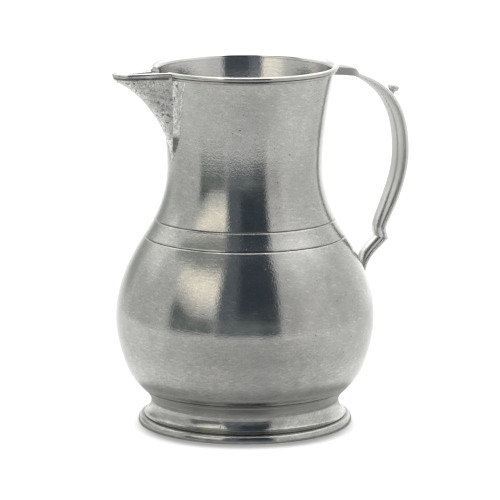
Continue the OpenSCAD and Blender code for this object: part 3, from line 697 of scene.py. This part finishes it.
# Rows down the flank of the spout, where the solder is ragged and widens from the lower point to
# the head, and then rows round the lower point
rows = []
for z in steps(spout_head_z, spout_foot_z, 60):
    w = spout_half(z)
    pull = beak(z, w, keel_reach(z)[0])
    ragged = noise.noise(Vector((0, 3, z * 0.16))) * 0.2 + noise.noise(Vector((0, 7, z * 0.6))) * 0.1
    flank = min(1, max(0, z - spout_foot_z - 2.5) / 9)
    width = (point_w + flank_w * flank + head_w * rise_of(z)) * (1 + ragged)
    t = min(0.3, climb / 3 / math.dist(pull[1], pull[0]))
    p, d = cubic(pull, t), heading(pull, t)
    rows.append((skin_point(w + seam_gap, z), skin_point(w + seam_gap + width, z),
                 (p[0] - seam_gap * d[1], p[1] + seam_gap * d[0], z)))
seat = spout_foot_w / 2 + seam_gap
for a in [math.radians(v) for v in steps(6, 90, 14)]:
    rows.append(solder_row(seat * math.cos(a), spout_foot_z - seam_gap * math.sin(a),
                           (seat + point_w) * math.cos(a),
                           spout_foot_z - (seam_gap + point_w) * math.sin(a), 0.3))
wiped("spout_solder_run", rows, "spout_solder", back=True)

# Handle
# One casting of pewter: a block soldered under the rim, a flat strap with a rounded keel inside
# its curve, a thumb bud on the shoulder, and a bend into the lower leg that dies into the belly.
strap_w, strap_t, crown, keel_w, keel_depth = 13.6, 2.2, 0.4, 9.4, 4.6
block_z, block_t, block_reach, block_fall = jug_h - 3.1, 4.9, 69.3, 1.6
block_end_z = block_z - block_fall
strap_at, grip_at, ankle_at, bend_at = (72.5, jug_h - 8.3), (104.9, 158.9), (90.2, 111.6), (91.6, 105.6)
leg_foot_z, leg_foot_t = 81.1, 0.9
leg_foot_at = (on_skin(strap_w / 2, skin_r(leg_foot_z)) + leg_foot_t, leg_foot_z)
shoulder_slope, flare_slope, leg_slope = 18.5, 74, 51
# Depth of the keel along the curves, 0 at the block and 4 at the lower end, as a share of its depth
keel_along = [(0, 0.03), (0.2, 0.42), (0.35, 0.62), (0.5, 0.86), (0.8, 1), (1.5, 1), (2, 0.8),
              (3.6, 0.75), (4, 0.05)]
# Side of the keel from its foot to its crest: degrees where it is round and, where it is square,
# its share of the depth and how far it is rounded off
keel_side = [(2, 0.02, 0), (10, 0.25, 0), (20, 0.5, 0), (32, 0.72, 0), (46, 0.86, 0.08),
             (60, 0.95, 0.5), (74, 0.99, 1.2), (84, 1, 2.8)]


def keel_at(s):
    """Depth of the keel at a place along the curves."""
    for (a, ka), (b, kb) in zip(keel_along, keel_along[1:]):
        if s <= b:
            return keel_depth * (ka + (kb - ka) * (s - a) / (b - a))
    return keel_depth * keel_along[-1][1]


def strap_curve(start, start_slope, start_share, end, end_slope, end_share):
    """Stretch of the strap: at both ends its slope in degrees and its pull, a share of its height."""
    h = start[1] - end[1]
    sa, sb = math.radians(start_slope), math.radians(end_slope)
    return [start, (start[0] + start_share * h * math.cos(sa), start[1] - start_share * h * math.sin(sa)),
            (end[0] - end_share * h * math.cos(sb), end[1] + end_share * h * math.sin(sb)), end]


strap_curves = [
    strap_curve(strap_at, shoulder_slope, 0.53, grip_at, 90, 0.48),
    strap_curve(grip_at, 90, 0.49, ankle_at, 90, 0.09),
    strap_curve(ankle_at, 90, 0.3, bend_at, flare_slope, 0.3),
    strap_curve(bend_at, 180 - leg_slope, 0.36, leg_foot_at, 90, 0.62)]


def strap_ring(x, z, inward, t, keel, crown, square=1):
    """Ring of the handle: the crowned face, a rounded edge, the inner flat and the keel."""
    half_w, keel_half, round_r = strap_w / 2, keel_w / 2, min(0.6, t * 0.3)
    half = [(s * half_w, -crown * (1 - s * s)) for s in (0.06, 0.25, 0.45, 0.65, 0.8, 0.9)]
    for a in [math.radians(v) for v in (20, 50, 80)]:
        half.append((half_w - round_r * (1 - math.sin(a)), round_r * (1 - math.cos(a))))
    for a in [math.radians(v) for v in (10, 40, 70)]:
        half.append((half_w - round_r * (1 - math.cos(a)), t - round_r * (1 - math.sin(a))))
    quirk = 0.35 * min(1, keel / 2)
    half += [(half_w - round_r - 0.15, t), (keel_half + 0.6, t), (keel_half + 0.25, t - quirk)]
    for degrees, share, round_off in keel_side:
        a = math.radians(degrees)
        square_side = keel_half - 0.12 - keel * share * 0.04 - round_off
        half.append(((1 - square) * keel_half * math.cos(a) + square * square_side,
                     t + keel * ((1 - square) * math.sin(a) + square * share)))
    half = [(x + d * inward[0], y, z + d * inward[1]) for y, d in half]
    return half + other_side(half)[::-1]


def off_belly(ring):
    """Lifts the points of a ring off the belly where they would sink in."""
    return [(max(x, on_skin(y, skin_r(z))), y, z) for x, y, z in ring]


def neck_seat_r(z):
    """Radius that the block starts from, clear of the fillet under the rim."""
    return fillet_at[0] + fillet_r * 2 + seam_gap if z > rim_foot_z - fillet_r else skin_r(z)


# The block from the neck outwards, the step down from it, and the four curves to the lower end
block_keel, down = keel_at(0), (0, -1)
block_start = bead_at[0] + 4
rings = [[(on_skin(y, neck_seat_r(z)), y, z)
          for x, y, z in strap_ring(bead_at[0], block_z, down, block_t, block_keel, 0.05)]]
for s in steps(0.25, 1, 6):
    rings.append(strap_ring(block_start + s * (block_reach - block_start - 0.5),
                            block_z - (0.2 + 0.8 * s) * block_fall, down, block_t, block_keel, crown / 2))
step_from = (block_reach - 0.3, block_end_z - 0.1)
for s in steps(0.12, 0.9, 7):
    ease = s * s * (3 - 2 * s)
    a = math.radians(shoulder_slope * ease)
    rings.append(strap_ring(step_from[0] + s * (strap_at[0] - step_from[0]),
                            step_from[1] + ease * (strap_at[1] - step_from[1]),
                            (-math.sin(a), -math.cos(a)), block_t + ease * (strap_t - block_t),
                            block_keel, crown / 2 * (1 + ease)))
leg_square, ring_counts = 0.35, (34, 34, 10, 26)
for k, count in enumerate(ring_counts):
    for i in range(count):
        t = i / count
        p, d = cubic(strap_curves[k], t), heading(strap_curves[k], t)
        # The ring at the corner of the bend stands halfway between the directions of both curves
        if k == 3 and i == 0:
            before = heading(strap_curves[2], 1)
            both = 1 + d[0] * before[0] + d[1] * before[1]
            d = ((d[0] + before[0]) / both, (d[1] + before[1]) / both)
        thick = strap_t if k < 3 else strap_t + t * (leg_foot_t - strap_t)
        square = max(leg_square, min(1, 1 - (k + t - 1.4) * 1.1))
        rings.append(off_belly(strap_ring(*p, (d[1], -d[0]), thick, keel_at(k + t), crown, square)))
rings.append(off_belly(strap_ring(*leg_foot_at, (-1, 0), leg_foot_t, keel_at(4), crown, leg_square)))
points, faces = skinned(rings)

# The bud is round about an axis that leans with the shoulder of the strap
bud_r, bud_half_h, bud_rise, bud_sides = 3.6, 2.3, 5, 40
bud_x, bud_z = cubic(strap_curves[0], 0.43)
lean = math.radians(shoulder_slope)
bud = [(1.9, -1.4), (1.72, 0.4), (1.62, 1.6), (1.7, 2.5)] + arc((0, bud_rise), bud_r, bud_half_h, -52, 86, 20)
first = len(points)
for r, h in bud:
    for a in [2 * math.pi * i / bud_sides for i in range(bud_sides)]:
        points.append((bud_x + r * math.cos(a) * math.cos(lean) + h * math.sin(lean), r * math.sin(a),
                       bud_z - r * math.cos(a) * math.sin(lean) + h * math.cos(lean)))
faces += strips(bud_sides, len(bud), first)
faces += [[start + i for i in range(bud_sides)] for start in (first, len(points) - bud_sides)]
bud_centre = (bud_x + bud_rise * math.sin(lean), 0, bud_z + bud_rise * math.cos(lean))
# Painted light: the strap is paler in a broad band round 190 mm high, and darker again on the block near the
# neck; the bud is darker
handle_pewter = pewter(
    "handle_pewter", (0.74, 0.735, 0.715), (0.60, 0.60, 0.585), gloss=0.2, lines=0.1, pits=0.3, grain=0.6,
    cast=0.4, brushed=0.0, tone_and_shade_bands=(("z", 190, 44, 0.75, 0.88), ("x", 60, 14, 0.57, darkening_black)),
    matt=(0.4, 120, 165), darker=(bud_centre, 5))
casting("handle_casting", points, faces, handle_pewter, "handle_pewter", "handle", crease=38)

# Solder of the handle
# Small fillets of pewter solder, wiped under the block and up its sides, and round the lower end
# of the leg. They are smoother than the runs along the spout.
leg_solder_w, leg_solder_h = 2.6, 1.2
edge = strap_w / 2


def edge_rows(top, low, gap, width, lift):
    """Rows of solder down a side of the strap, round its corner and under it."""
    rows = [solder_row(edge + seam_gap, z, edge + seam_gap + width, z, lift) for z in steps(top, low, 16)]
    for a in [math.radians(v) for v in steps(10, 90, 9)]:
        rows.append(solder_row(edge + seam_gap * math.cos(a), low - gap * math.sin(a),
                               edge + (seam_gap + width) * math.cos(a),
                               low - (gap + width) * math.sin(a), lift))
    return rows + [solder_row(y, low - gap, y, low - gap - width, lift) for y in steps(edge * 0.9, 0, 10)]


wiped("handle_top_solder_run", edge_rows(spout_head_z, block_z - block_t, 2 * seam_gap, solder_w, solder_w),
      "handle_top_solder", rough=0.08)
wiped("handle_foot_solder_run",
      edge_rows(leg_foot_z + 2 * leg_solder_w, leg_foot_z, seam_gap, leg_solder_w, leg_solder_h),
      "handle_foot_solder", rough=0.1)

bpy.context.view_layer.update()
